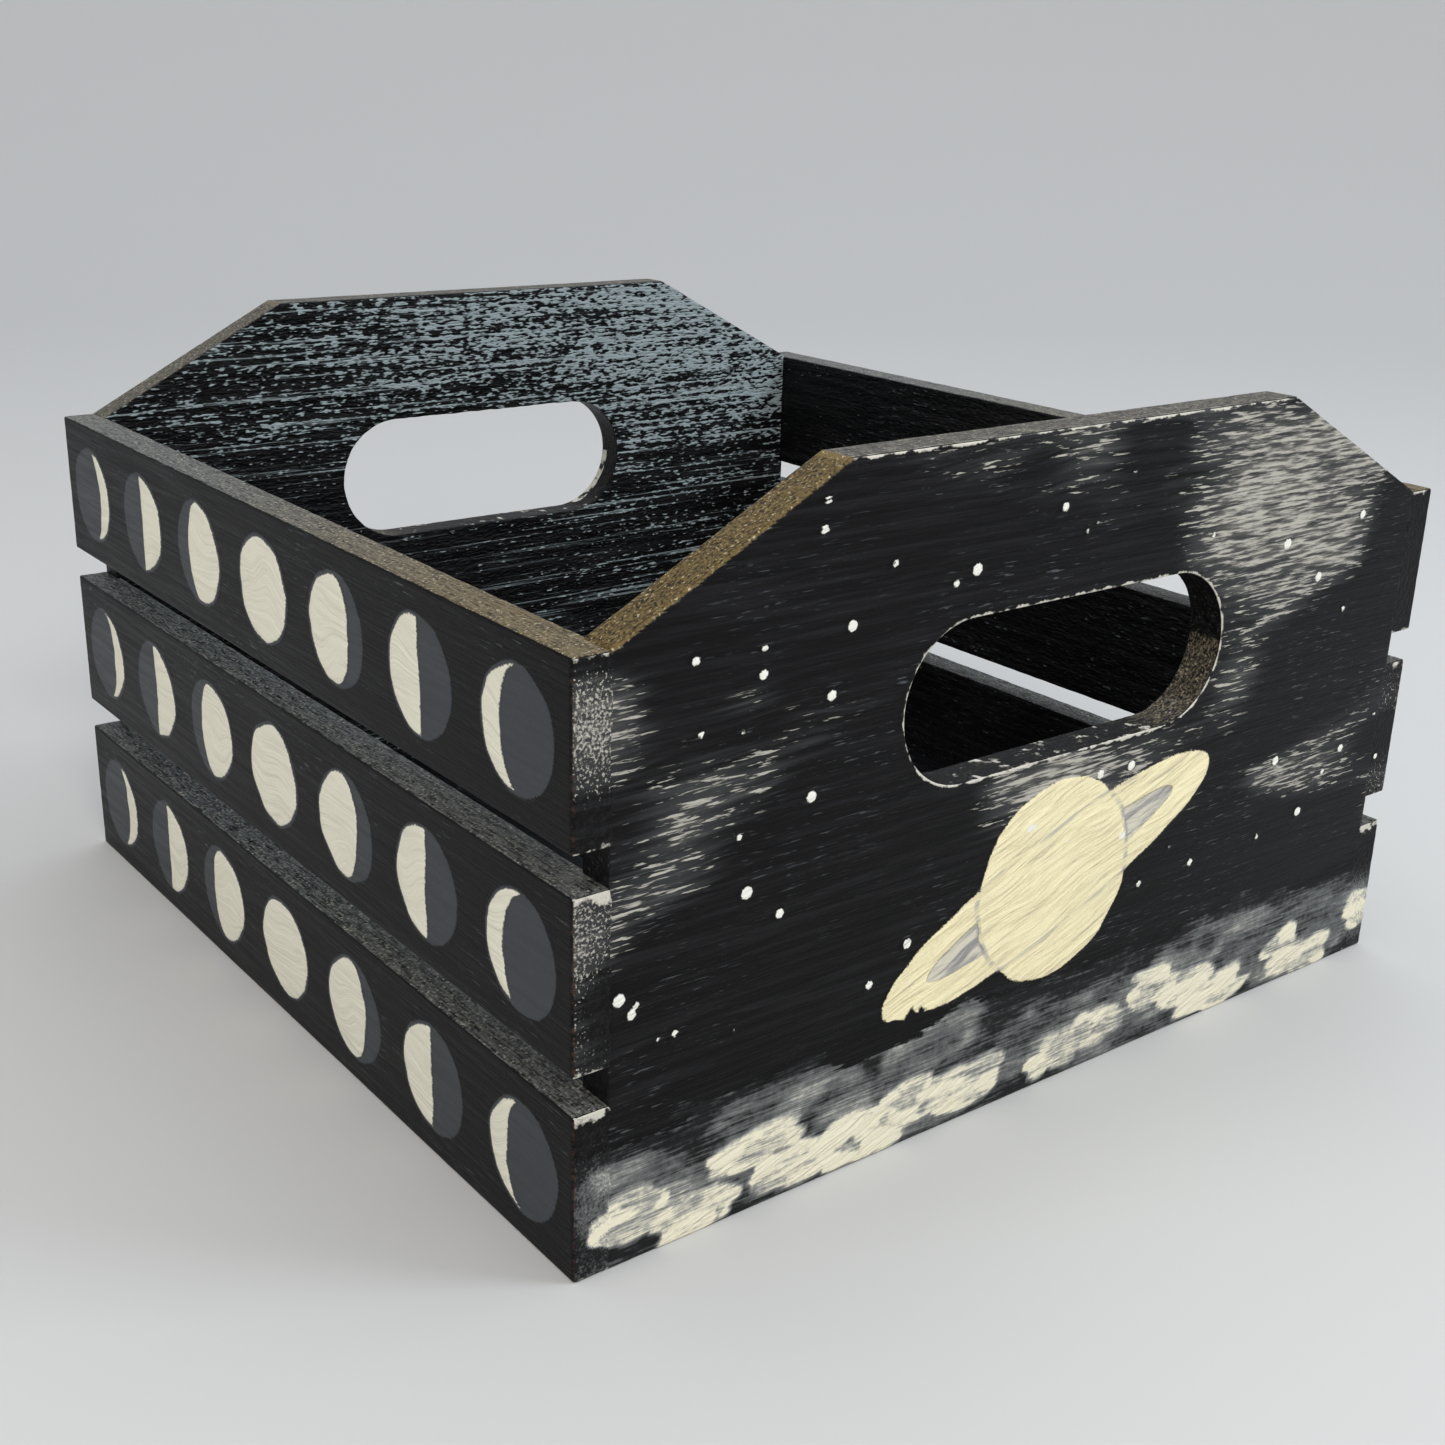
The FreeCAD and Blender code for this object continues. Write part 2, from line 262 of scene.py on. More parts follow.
class Shading:
    """A material being built.  Each method adds a node and gives back its output."""

    def __init__(self, name):
        self.material = bpy.data.materials.new(name)
        self.material.use_nodes = True
        self.tree = self.material.node_tree
        self.shader = self.tree.nodes["Principled BSDF"]
        place = self.node("ShaderNodeTexCoord").outputs["Object"]
        self.place = self.vector("MULTIPLY", place, (1 / MM,) * 3)

    def node(self, kind, **settings):
        made = self.tree.nodes.new(kind)
        for setting, value in settings.items():
            setattr(made, setting, value)
        return made

    def feed(self, socket, value):
        """Links another node's output to a socket, or sets the socket to a fixed value."""
        if isinstance(value, bpy.types.NodeSocket):
            self.tree.links.new(value, socket)
        else:
            socket.default_value = value

    def vector(self, operation, first, second):
        made = self.node("ShaderNodeVectorMath", operation=operation)
        self.feed(made.inputs[0], first)
        self.feed(made.inputs[1], second)
        return made.outputs[0]

    def calc(self, operation, first, second=0.0):
        made = self.node("ShaderNodeMath", operation=operation)
        self.feed(made.inputs[0], first)
        self.feed(made.inputs[1], second)
        return made.outputs[0]

    def times(self, *values):
        """The product of all the values."""
        total = values[0]
        for value in values[1:]:
            total = self.calc("MULTIPLY", total, value)
        return total

    def most(self, first, second):
        return self.calc("MAXIMUM", first, second)

    def offset(self, value, scale, wave):
        """value plus scale times a wave that swings about a half."""
        return self.calc("ADD", value, self.calc("MULTIPLY", self.calc("SUBTRACT", wave, 0.5), scale))

    def step(self, value, low, high):
        """0 below low, 1 above high, smooth between; falling where low is the larger."""
        made = self.node("ShaderNodeMapRange", interpolation_type="SMOOTHSTEP")
        falling = low > high
        self.feed(made.inputs["Value"], value)
        made.inputs["From Min"].default_value = min(low, high)
        made.inputs["From Max"].default_value = max(low, high)
        made.inputs["To Min"].default_value = 1.0 if falling else 0.0
        made.inputs["To Max"].default_value = 0.0 if falling else 1.0
        return made.outputs["Result"]

    def mark(self, name, output="Fac"):
        """What painted_piece stored on the mesh under that name."""
        return self.node("ShaderNodeAttribute", attribute_name=name).outputs[output]

    def noise(self, size, detail=3.0, at=None, distortion=0.0):
        """Noise whose lumps are size mm across along X, Y and Z."""
        made = self.node("ShaderNodeTexNoise")
        place = self.place if at is None else at
        self.feed(made.inputs["Vector"], self.vector("MULTIPLY", place, tuple(1 / s for s in size)))
        made.inputs["Scale"].default_value = 1.0
        made.inputs["Detail"].default_value = detail
        made.inputs["Roughness"].default_value = 0.6
        made.inputs["Distortion"].default_value = distortion
        return made.outputs["Fac"]

    def warped(self, size, reach):
        """The place in mm, pushed about by noise of that size as far as reach."""
        made = self.node("ShaderNodeTexNoise")
        self.feed(made.inputs["Vector"], self.vector("MULTIPLY", self.place, tuple(1 / s for s in size)))
        made.inputs["Scale"].default_value = 1.0
        centred = self.vector("SUBTRACT", made.outputs["Color"], (0.5, 0.5, 0.5))
        return self.vector("ADD", self.place, self.vector("MULTIPLY", centred, reach))

    def cells(self, size, at):
        """Cells size mm across: a random value for each, and the distance from its middle."""
        made = self.node("ShaderNodeTexVoronoi")
        self.feed(made.inputs["Vector"], self.vector("MULTIPLY", at, tuple(1 / s for s in size)))
        made.inputs["Scale"].default_value = 1.0
        parts = self.node("ShaderNodeSeparateColor")
        self.feed(parts.inputs[0], made.outputs["Color"])
        return parts.outputs[0], made.outputs["Distance"]

    def blend(self, amount, under, over):
        """The colour under where amount is 0, and the colour over where it is 1."""
        made = self.node("ShaderNodeMix", data_type="RGBA")
        self.feed(made.inputs["Factor"], amount)
        for socket, colour in ((made.inputs["A"], under), (made.inputs["B"], over)):
            self.feed(socket, colour if isinstance(colour, bpy.types.NodeSocket) else (*colour, 1))
        return made.outputs["Result"]

    def mix(self, amount, low, high):
        """low where amount is 0, high where it is 1."""
        made = self.node("ShaderNodeMix", data_type="FLOAT")
        self.feed(made.inputs["Factor"], amount)
        self.feed(made.inputs["A"], low)
        self.feed(made.inputs["B"], high)
        return made.outputs["Result"]


BLACK = (0.0035, 0.0035, 0.0039)
CHARCOAL = (0.0115, 0.0115, 0.0125)
SCUFF = (0.15, 0.16, 0.17)
HAZE_DARK = (0.070, 0.072, 0.074)
HAZE_LIGHT = (0.50, 0.48, 0.42)
HAZE_WHITE = (0.76, 0.74, 0.66)
CREAM = (0.85, 0.77, 0.50)
CREAM_DEEP = (0.70, 0.62, 0.39)
MOON_CREAM = (0.80, 0.77, 0.63)
MOON_DEEP = (0.73, 0.70, 0.57)
SEAM_GREY = (0.34, 0.33, 0.33)
SHADOW_GREY = (0.052, 0.057, 0.064)
STAR_WHITE = (0.82, 0.81, 0.74)
# Pewter grey and warm brown of the rubbed-edge tint; on the chamfers and top edges it is a painted sheen.
SHEEN_AND_WEAR_BROWN = (0.17, 0.115, 0.038)
SHEEN_AND_WEAR_GREY = (0.145, 0.155, 0.153)
# Bluish white of the painted highlight flecks.
PAINTED_HIGHLIGHT_BLUE = (0.42, 0.50, 0.52)
GAP_GREY = (0.26, 0.255, 0.255)
GAP_CREAM = (0.62, 0.58, 0.48)
CLOUD_BLACK = (0.010, 0.0105, 0.011)
CLOUD_SMOKE = (0.115, 0.12, 0.12)
CLOUD_GREY = (0.33, 0.33, 0.31)
CLOUD_CREAM = (0.80, 0.75, 0.58)
CREAM_SMEAR_AND_HIGHLIGHT = (0.70, 0.67, 0.58)
PAINTED_GLINT = (0.62, 0.57, 0.42)
BARE_WOOD = (0.055, 0.026, 0.017)


def night_paint(name, along, cream_light, cream_dark, streakiness, impasto):
    """Black paint brushed over open grain that runs along one axis, with every mark painted over it in
    order: haze, cream shapes, bank, cloud dabs, stars, painted highlights, then rubbed edges that carry a
    painted sheen and painted glints."""
    paint = Shading(name)

    def grain_size(length, width):
        return tuple(length if axis == along else width for axis in range(3))

    grain = paint.noise(grain_size(34, 1.3), 4)
    fleck = paint.noise(grain_size(5.5, 0.5), 2)
    dry = paint.noise(grain_size(7.0, 0.68), 3)
    tooth = paint.noise((0.5, 0.5, 0.5), 2)
    broad = paint.noise((34, 34, 34), 2)
    brush = paint.noise((18, 1.6, 1), 3, paint.mark("brush", "Vector"), 0.5)
    swirl = paint.noise((40, 1.5, 1), 3, paint.mark("swirl", "Vector"), 0.2)

    colour = paint.blend(paint.step(grain, 0.42, 0.72), BLACK, CHARCOAL)
    scuffed = paint.times(paint.step(fleck, 0.62, 0.72), paint.step(broad, 0.42, 0.66), 0.5)
    colour = paint.blend(scuffed, colour, SCUFF)

    halo = paint.mark("halo")
    veil = paint.step(paint.offset(paint.offset(halo, 1.5, swirl), 0.7, dry), 0.42, 1.15)
    caught = paint.step(paint.offset(halo, 2.6, dry), 0.50, 0.64)
    present = paint.step(halo, 0.04, 0.30)
    haze = paint.most(paint.times(veil, 0.9), paint.times(caught, present, 0.85))
    haze = paint.most(haze, paint.times(paint.step(paint.offset(halo, 0.8, swirl), 0.10, 0.55), 0.55))
    lightness = paint.calc("ADD", paint.times(veil, 0.65), paint.times(caught, paint.step(dry, 0.45, 0.7)))
    haze_colour = paint.blend(lightness, HAZE_DARK, HAZE_LIGHT)
    haze_colour = paint.blend(paint.step(paint.offset(halo, 0.8, swirl), 1.0, 1.5), haze_colour, HAZE_WHITE)
    colour = paint.blend(haze, colour, haze_colour)

    planet, ring, gap = paint.mark("planet"), paint.mark("ring"), paint.mark("gap")
    cream = paint.blend(paint.step(paint.offset(brush, 0.3, tooth), 0.30, 0.60), cream_dark, cream_light)
    wavering = 0.9
    in_planet = paint.step(paint.offset(planet, wavering, tooth), -0.15, 0.25)
    in_gap = paint.step(paint.offset(gap, wavering, tooth), -0.2, 0.4)
    in_ring = paint.times(
        paint.step(paint.offset(ring, wavering, tooth), -0.15, 0.25), paint.calc("SUBTRACT", 1, in_gap))
    shadow = paint.step(paint.offset(paint.mark("shadow"), wavering, tooth), -0.2, 0.3)
    colour = paint.blend(shadow, colour, SHADOW_GREY)
    gap_colour = paint.blend(paint.step(brush, 0.36, 0.60), GAP_GREY, GAP_CREAM)
    colour = paint.blend(in_gap, colour, gap_colour)
    colour = paint.blend(in_planet, colour, cream)
    colour = paint.blend(in_ring, colour, cream)
    seam = paint.times(
        paint.step(paint.calc("ABSOLUTE", planet), 1.1, 0.3), paint.step(ring, -1, 0.5),
        paint.step(brush, 0.40, 0.55), 0.7)
    ring_edge = paint.times(
        paint.step(paint.calc("ABSOLUTE", ring), 0.9, 0.25), in_planet, paint.step(brush, 0.42, 0.56), 0.6)
    streak = paint.times(
        paint.step(paint.offset(brush, 0.25, dry), 0.38, 0.28), paint.most(in_planet, in_ring), streakiness)
    for amount in (seam, ring_edge, streak):
        colour = paint.blend(amount, colour, SEAM_GREY)

    _, lump = paint.cells((5.2, 900, 4.6), paint.warped((2.5, 2.5, 2.5), (2.4, 0, 2.4)))
    bank = paint.step(paint.offset(paint.mark("bank"), -4.0, lump), -0.15, 0.25)
    colour = paint.blend(bank, colour, BLACK)
    wisp = paint.noise(grain_size(10, 0.6), 3, None, 0.5)
    broken = paint.noise((1.6, 1.6, 1.6), 2)
    ragged = paint.offset(paint.offset(paint.mark("cloud"), 4.0, wisp), 1.5, broken)
    dabbed = paint.step(ragged, -0.35, 0.35)
    tone = paint.offset(paint.offset(paint.mark("tone"), 0.9, wisp), 0.35, broken)
    dab_colour = paint.blend(paint.step(tone, 0.0, 0.32), CLOUD_BLACK, CLOUD_SMOKE)
    dab_colour = paint.blend(paint.step(tone, 0.28, 0.62), dab_colour, CLOUD_GREY)
    dab_colour = paint.blend(paint.step(tone, 0.52, 0.86), dab_colour, CLOUD_CREAM)
    colour = paint.blend(dabbed, colour, dab_colour)
    cloud = paint.times(dabbed, paint.step(tone, 0.3, 0.7))
    star = paint.step(paint.offset(paint.mark("star"), 0.5, tooth), -0.1, 0.15)
    colour = paint.blend(star, colour, STAR_WHITE)

    # Cream along edges: paint smears on the hand hole's bottom wall, a painted highlight line along the
    # top's front edge, and painted highlights mixed with smears on the slat ends.
    lip = paint.step(paint.offset(paint.mark("lip"), 3.0, paint.noise((3.5, 3.5, 3.5), 3)), -0.15, 0.25)
    colour = paint.blend(paint.times(lip, 0.8), colour, CREAM_SMEAR_AND_HIGHLIGHT)

    # Painted highlight flecks: bluish streaks along the grain, standing for light caught on the ridges of
    # the inner faces.
    bead = paint.noise(grain_size(2.6, 0.8), 1)
    line = paint.noise(grain_size(70, 0.9), 2)
    painted_highlight = paint.mark("painted_highlight")
    highlighted = paint.most(
        paint.step(paint.offset(paint.offset(painted_highlight, 2.2, bead), 1.5, line), 0.60, 0.86),
        paint.times(paint.step(line, 0.58, 0.68), paint.step(painted_highlight, 0.05, 0.4), 0.7))
    highlighted = paint.times(highlighted, paint.step(painted_highlight, 0.02, 0.12))
    colour = paint.blend(paint.times(highlighted, 0.72), colour, PAINTED_HIGHLIGHT_BLUE)

    # The rubbed-edge tint, pewter grey to warm brown: a painted sheen on the chamfers and top edges, and
    # the same tint on the hand hole's wall and the slats' undersides.
    rub_and_sheen, warm_tint = paint.mark("rub_and_sheen"), paint.mark("warm_tint")
    speck = paint.noise((0.7, 0.7, 0.7), 2)
    sheen_and_wear = paint.blend(warm_tint, SHEEN_AND_WEAR_GREY, SHEEN_AND_WEAR_BROWN)
    sheen_and_wear_amount = paint.step(paint.offset(paint.offset(rub_and_sheen, 1.2, fleck), 1.0, speck), 0.30, 0.85)
    colour = paint.blend(paint.times(sheen_and_wear_amount, 0.9), colour, sheen_and_wear)
    # Painted glints: bright specks where the rubbed-edge tint is strong.
    painted_glint = paint.times(paint.step(speck, 0.60, 0.70), paint.step(rub_and_sheen, 0.25, 0.9), 0.8)
    colour = paint.blend(painted_glint, colour, PAINTED_GLINT)
    bare = paint.step(paint.offset(paint.mark("bare"), 1.2, grain), 0.5, 0.9)
    colour = paint.blend(bare, colour, BARE_WOOD)
    paint.feed(paint.shader.inputs["Base Color"], colour)

    above_bank = paint.times(paint.most(in_planet, in_ring), paint.calc("SUBTRACT", 1, bank))
    thick = paint.most(above_bank, paint.most(cloud, star))
    satin = paint.mix(paint.step(grain, 0.3, 0.75), 0.34, 0.52)
    gloss = paint.mix(thick, satin, 0.45)
    gloss = paint.mix(haze, gloss, 0.55)
    gloss = paint.mix(highlighted, gloss, 0.3)
    paint.feed(paint.shader.inputs["Roughness"], gloss)
    paint.shader.inputs["Specular IOR Level"].default_value = 0.09

    height = paint.times(grain, 0.55)
    height = paint.calc("ADD", height, paint.times(fleck, 0.25))
    height = paint.calc("ADD", height, paint.times(tooth, 0.10))
    height = paint.calc("ADD", height, paint.times(caught, present, 0.20))
    ridges = paint.calc("ADD", paint.times(brush, impasto), paint.times(tooth, 0.08))
    height = paint.mix(thick, height, ridges)
    height = paint.calc("ADD", height, paint.times(rub_and_sheen, speck, 0.5))
    height = paint.calc("ADD", height, paint.times(paint.mark("inside"), bead, 1.6))
    bump = paint.node("ShaderNodeBump")
    bump.inputs["Strength"].default_value = 1.0
    bump.inputs["Distance"].default_value = 0.00045
    paint.feed(bump.inputs["Height"], height)
    paint.feed(paint.shader.inputs["Normal"], bump.outputs["Normal"])
    return paint.material


board_low, board_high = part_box("front_end_board")
PAINT_BRIDGE = 1.1      # the paint carries the face over the joint with the slats
HALF_WIDTH = board_high.x / MM + PAINT_BRIDGE
STOCK = (board_high.y - board_low.y) / MM
PEAK_HEIGHT = board_high.z / MM
SHOULDER_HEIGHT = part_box("left_upper_slat")[1].z / MM
PEAK_HALF_WIDTH = 69
HOLE_HALF_STRAIGHT = 32.5
HOLE_RADIUS = 18.5
HOLE_CENTRE = 104
BOARD_EASE = 0.45
# The face's grid of points: its rows below the hole and at it, then its columns.
ROWS_BELOW_HOLE = 85
ROWS_AT_HOLE = 57
COLUMNS_BESIDE_HOLE = 90
COLUMNS_OVER_HOLE = 71


def hole_gap(x, z):
    """How far a point lies outside the hand hole: its distance from the hole's straight
    middle line, less the radius of the hole's ends."""
    return np.hypot(np.maximum(np.abs(x) - HOLE_HALF_STRAIGHT, 0), z - HOLE_CENTRE) - HOLE_RADIUS


def board_face(inset):
    """The board's face as a grid of (x, z), shrunk by inset all round and at the hole.
    Rows climb the board and bunch round the hole by equal angles.  Columns run from the
    outline to the hole's ends, over its straight middle, and out again."""
    chamfer = math.hypot(HALF_WIDTH - PEAK_HALF_WIDTH, PEAK_HEIGHT - SHOULDER_HEIGHT)
    lean = (PEAK_HEIGHT - SHOULDER_HEIGHT) / chamfer
    fall = (HALF_WIDTH - PEAK_HALF_WIDTH) / chamfer
    shoulder = SHOULDER_HEIGHT - inset * (1 - lean) / fall
    half_top = PEAK_HALF_WIDTH - inset * (1 - fall) / lean
    radius = HOLE_RADIUS + inset
    angle = np.linspace(-math.pi / 2, math.pi / 2, ROWS_AT_HOLE)
    z = np.concatenate([
        np.linspace(inset, HOLE_CENTRE - radius, ROWS_BELOW_HOLE + 1)[:-1],
        HOLE_CENTRE + radius * np.sin(angle),
        np.linspace(HOLE_CENTRE + radius, shoulder, 10)[1:],
        np.linspace(shoulder, PEAK_HEIGHT - inset, 32)[1:],
    ])
    half = np.interp(z, [inset, shoulder, PEAK_HEIGHT - inset], [HALF_WIDTH - inset] * 2 + [half_top])
    hole = np.full(len(z), float(HOLE_HALF_STRAIGHT))
    hole[ROWS_BELOW_HOLE:ROWS_BELOW_HOLE + ROWS_AT_HOLE] += radius * np.cos(angle)
    side = np.linspace(0, 1, COLUMNS_BESIDE_HOLE + 1)[:-1]
    left = -half[:, None] + side * (half - hole)[:, None]
    middle = np.linspace(-1, 1, COLUMNS_OVER_HOLE) * hole[:, None]
    x = np.concatenate([left, middle, -left[:, ::-1]], 1)
    return np.stack([x, np.broadcast_to(z[:, None], x.shape)], -1)


def rim(bottom, top, first, last):
    """The grid places round a rectangle of the grid, anticlockwise, closed."""
    rows = np.concatenate([
        np.full(last - first, bottom), np.arange(bottom, top),
        np.full(last - first, top), np.arange(top, bottom - 1, -1)])
    columns = np.concatenate([
        np.arange(first, last), np.full(top - bottom, last),
        np.arange(last, first, -1), np.full(top - bottom + 1, first)])
    return rows, columns


def board_solid(outer_y, inward):
    """The whole board: an outer and an inner face with the hole's cells left out, and two
    strips that carry a rounded edge, a flat wall and a rounded edge round each rim."""
    inner_grid, outer_grid = board_face(BOARD_EASE), board_face(0.0)
    rows, columns = inner_grid.shape[:2]
    cells = grid_faces(rows, columns)
    middle = inner_grid.reshape(-1, 2)[cells].mean(1)
    cells = cells[hole_gap(middle[:, 0], middle[:, 1]) > BOARD_EASE * 0.9]
    round_turn = np.linspace(0, math.pi / 2, 4)
    eased = BOARD_EASE * (1 - np.sin(round_turn))
    deep = BOARD_EASE * (1 - np.cos(round_turn))
    wall = np.linspace(BOARD_EASE, STOCK - BOARD_EASE, 9)[1:-1]
    inset = np.concatenate([eased, 0 * wall, eased[::-1]])
    depth = np.concatenate([deep, wall, (STOCK - deep)[::-1]])

    def placed(flat, depth):
        y = np.broadcast_to(outer_y + inward * depth, flat.shape[:-1])
        return np.stack([flat[..., 0], y, flat[..., 1]], -1).reshape(-1, 3)

    points = [placed(inner_grid, 0.0), placed(inner_grid, STOCK)]
    faces = [cells, cells[:, ::-1] + rows * columns]
    outer_rim = rim(0, rows - 1, 0, columns - 1)
    hole_rim = rim(
        ROWS_BELOW_HOLE, ROWS_BELOW_HOLE + ROWS_AT_HOLE - 1,
        COLUMNS_BESIDE_HOLE, COLUMNS_BESIDE_HOLE + COLUMNS_OVER_HOLE - 1)
    for outline, outward in ((outer_rim, 1), (hole_rim, -1)):
        edge, eased_edge = outer_grid[outline], inner_grid[outline]
        strip = edge[:, None] + (eased_edge - edge)[:, None] * (inset / BOARD_EASE)[None, :, None]
        first = sum(map(len, points))
        points.append(placed(strip, depth[None, :]))
        faces.append(grid_faces(len(edge), len(depth), first)[:, ::outward])
    return np.concatenate(points), np.concatenate(faces)


# A stock night sky, laid out by rule in mm from the middle of the board's base: a plain ringed
# planet under the hole, seeded stars, drifting haze, and a level bank of seeded clouds.
PLANET_CENTRE = (0, 54)
PLANET_RADIUS = 25
RING_TURN = math.radians(20)
RING_HALF = (56, 13)    # half length and half width of the ring, then of the gap in it
GAP_HALF = (42, 6)
BANK_TOP = 30
STAR_TRIES = 60         # stars thrown, before those over the hole are left out
STAR_CLEARANCE = 6      # kept free round the hole
SKY_SEED = 11
SOFT_TONE = 0.56        # strokes darker than this have soft edges
FRONT_DABS_SEED = 401
REAR_DABS_SEED = 431
NOWHERE = -20.0         # the value of a mark well away from its shape


def scattered(draw, count, heights, half_wides, half_highs):
    """Cloud dabs spread evenly along the board, each moved a little at random: x, z, half
    width and half height."""
    along = np.linspace(-124, 124, count) + draw.uniform(-7, 7, count)
    return np.stack([
        along, draw.uniform(*heights, count), draw.uniform(*half_wides, count),
        draw.uniform(*half_highs, count)], 1)


def brush_dabs(x, z, seed):
    """The cloud bank: a patchy grey wash, then dabs.  Each dab is a scatter of short level
    strokes, thin ovals laid over each other at random within it, soft where they are grey and
    crisp where they are cream.  Gives how far inside the paint a point lies, and the tone of
    the last stroke over it, from 0 for dark grey to 1 for cream."""
    draw = np.random.default_rng(seed)
    layers = (
        (scattered(draw, 24, (4, 24), (8, 15), (3, 7)), 12, (0.10, 0.50)),
        (scattered(draw, 15, (4, 15), (7, 13), (4, 7)), 18, (SOFT_TONE, 1.05)),
    )
    depth = BANK_TOP - 3 + 4 * rough(x, z, 18, 9, seed + 5) - z
    tone = np.maximum(0.10 + 0.16 * rough(x, z, 26, 8, seed + 3) - 0.20 * smooth_step(depth, 10, 0), 0)
    for dabs, count, tones in layers:
        for at_x, at_z, half_wide, half_high in dabs:
            for _ in range(count):
                way, out = draw.uniform(0, 2 * math.pi), math.sqrt(draw.uniform(0, 0.9))
                middle = (
                    at_x + half_wide * out * math.cos(way) * 0.8,
                    at_z + half_high * out * math.sin(way) * 0.95)
                half = (draw.uniform(0.32, 0.66) * half_wide, draw.uniform(1.0, 2.5))
                turn = draw.normal(0.0, 0.10)
                stroke_tone = draw.uniform(*tones)
                near = np.nonzero(
                    (np.abs(x - middle[0]) < half[0] + 3) & (np.abs(z - middle[1]) < half[1] + 4))[0]
                if len(near):
                    within = inside_oval(x[near], z[near], middle, half, turn)
                    depth[near] = np.maximum(depth[near], within)
                    softness = 1.0 * (stroke_tone < SOFT_TONE)
                    over = smooth_step(within, -0.9 - 1.6 * softness, 0.2 + softness)
                    tone[near] = tone[near] * (1 - over) + stroke_tone * over
    return depth, tone


def seeded_stars():
    """Stars thrown at random over the board, as rows of x, z, radius, without those that
    would fall over the hole."""
    draw = np.random.default_rng(SKY_SEED)
    stars = np.stack([
        draw.uniform(-126, 126, STAR_TRIES), draw.uniform(BANK_TOP + 12, 155, STAR_TRIES),
        draw.uniform(0.5, 1.5, STAR_TRIES)], 1)
    return stars[hole_gap(stars[:, 0], stars[:, 1]) > STAR_CLEARANCE]


def night_sky(x, z, with_planet):
    """What is painted on an end at x, z: for each shape, how far inside it the point lies."""
    wobble = rough(x, z, 14, 9, 5) * 0.7
    planet = PLANET_RADIUS - np.hypot(x - PLANET_CENTRE[0], z - PLANET_CENTRE[1]) + wobble
    ring = inside_oval(x, z, PLANET_CENTRE, RING_HALF, RING_TURN) + wobble * 0.7
    gap = np.minimum(inside_oval(x, z, PLANET_CENTRE, GAP_HALF, RING_TURN) + wobble * 0.5, -planet)
    if not with_planet:
        planet = ring = gap = np.full(x.shape, NOWHERE)
    bank = BANK_TOP + 4 * rough(x, 0 * x, 34, 34, 3) - z
    cloud, tone = brush_dabs(x, z, FRONT_DABS_SEED if with_planet else REAR_DABS_SEED)
    star = np.full(x.shape, NOWHERE)
    for at_x, at_z, radius in seeded_stars():
        star = np.maximum(star, radius - np.hypot(x - at_x, z - at_z))
    halo = 0.75 * smooth_step(rough(x, z, 74, 36, 21), -0.15, 0.9) * smooth_step(z, BANK_TOP, 56)
    ring_along, ring_across = oval_axes(x, z, PLANET_CENTRE, RING_TURN)
    brush_across = ring_across + 1.2 * rough(x, z, 22, 12, 41)
    none = np.zeros(x.shape)
    return {
        "planet": planet, "ring": ring, "gap": gap, "bank": bank, "cloud": cloud, "tone": tone,
        "star": star, "halo": halo, "shadow": none + NOWHERE,
        "swirl": np.stack([x, z + 3 * rough(x, z, 60, 30, 43), none], 1),
        "brush": np.stack([ring_along, brush_across, none], 1),
    }


def laid_on(area, found, under):
    """Puts the marks found for the points of an area into under, which is bare elsewhere."""
    for mark, values in found.items():
        if mark not in under:
            bare = 0.0 if values.ndim == 2 or mark in ("halo", "tone") else NOWHERE
            under[mark] = np.full((len(area),) + values.shape[1:], bare)
        under[mark][area] = values
    return under


def paint_relief(marks, x, z):
    """How far the paint of the marks stands up, in mm: thick where it is cream, with the
    ridges that the bristles left."""
    ridges = rough(marks["brush"][:, 0], marks["brush"][:, 1], 16, 2.6, 51, 2)
    cream = np.maximum(marks["planet"], np.minimum(marks["ring"], -marks["gap"]))
    cream = np.where(marks["bank"] > 0, NOWHERE, cream)
    raised = smooth_step(cream, -0.5, 0.7) * (0.20 + 0.09 * ridges)
    raised = raised + 0.08 * smooth_step(marks["bank"], -0.5, 0.8)
    dabs = rough(x, z, 9, 2.2, 61, 2)
    cloud = smooth_step(marks["cloud"] + 0.3 * dabs, -0.4, 0.7)
    raised = raised + cloud * marks["tone"] * (0.16 + 0.06 * dabs)
    raised = raised + smooth_step(marks["star"], -0.4, 0.6) * 0.35
    return raised + smooth_step(marks["halo"], 0.1, 0.9) * 0.05 * rough(x, z, 9, 1.6, 71, 2)


FILM = 0.14             # thickness of the black coats
FACING = 0.55           # a normal's share along an axis, past which a point is on that face


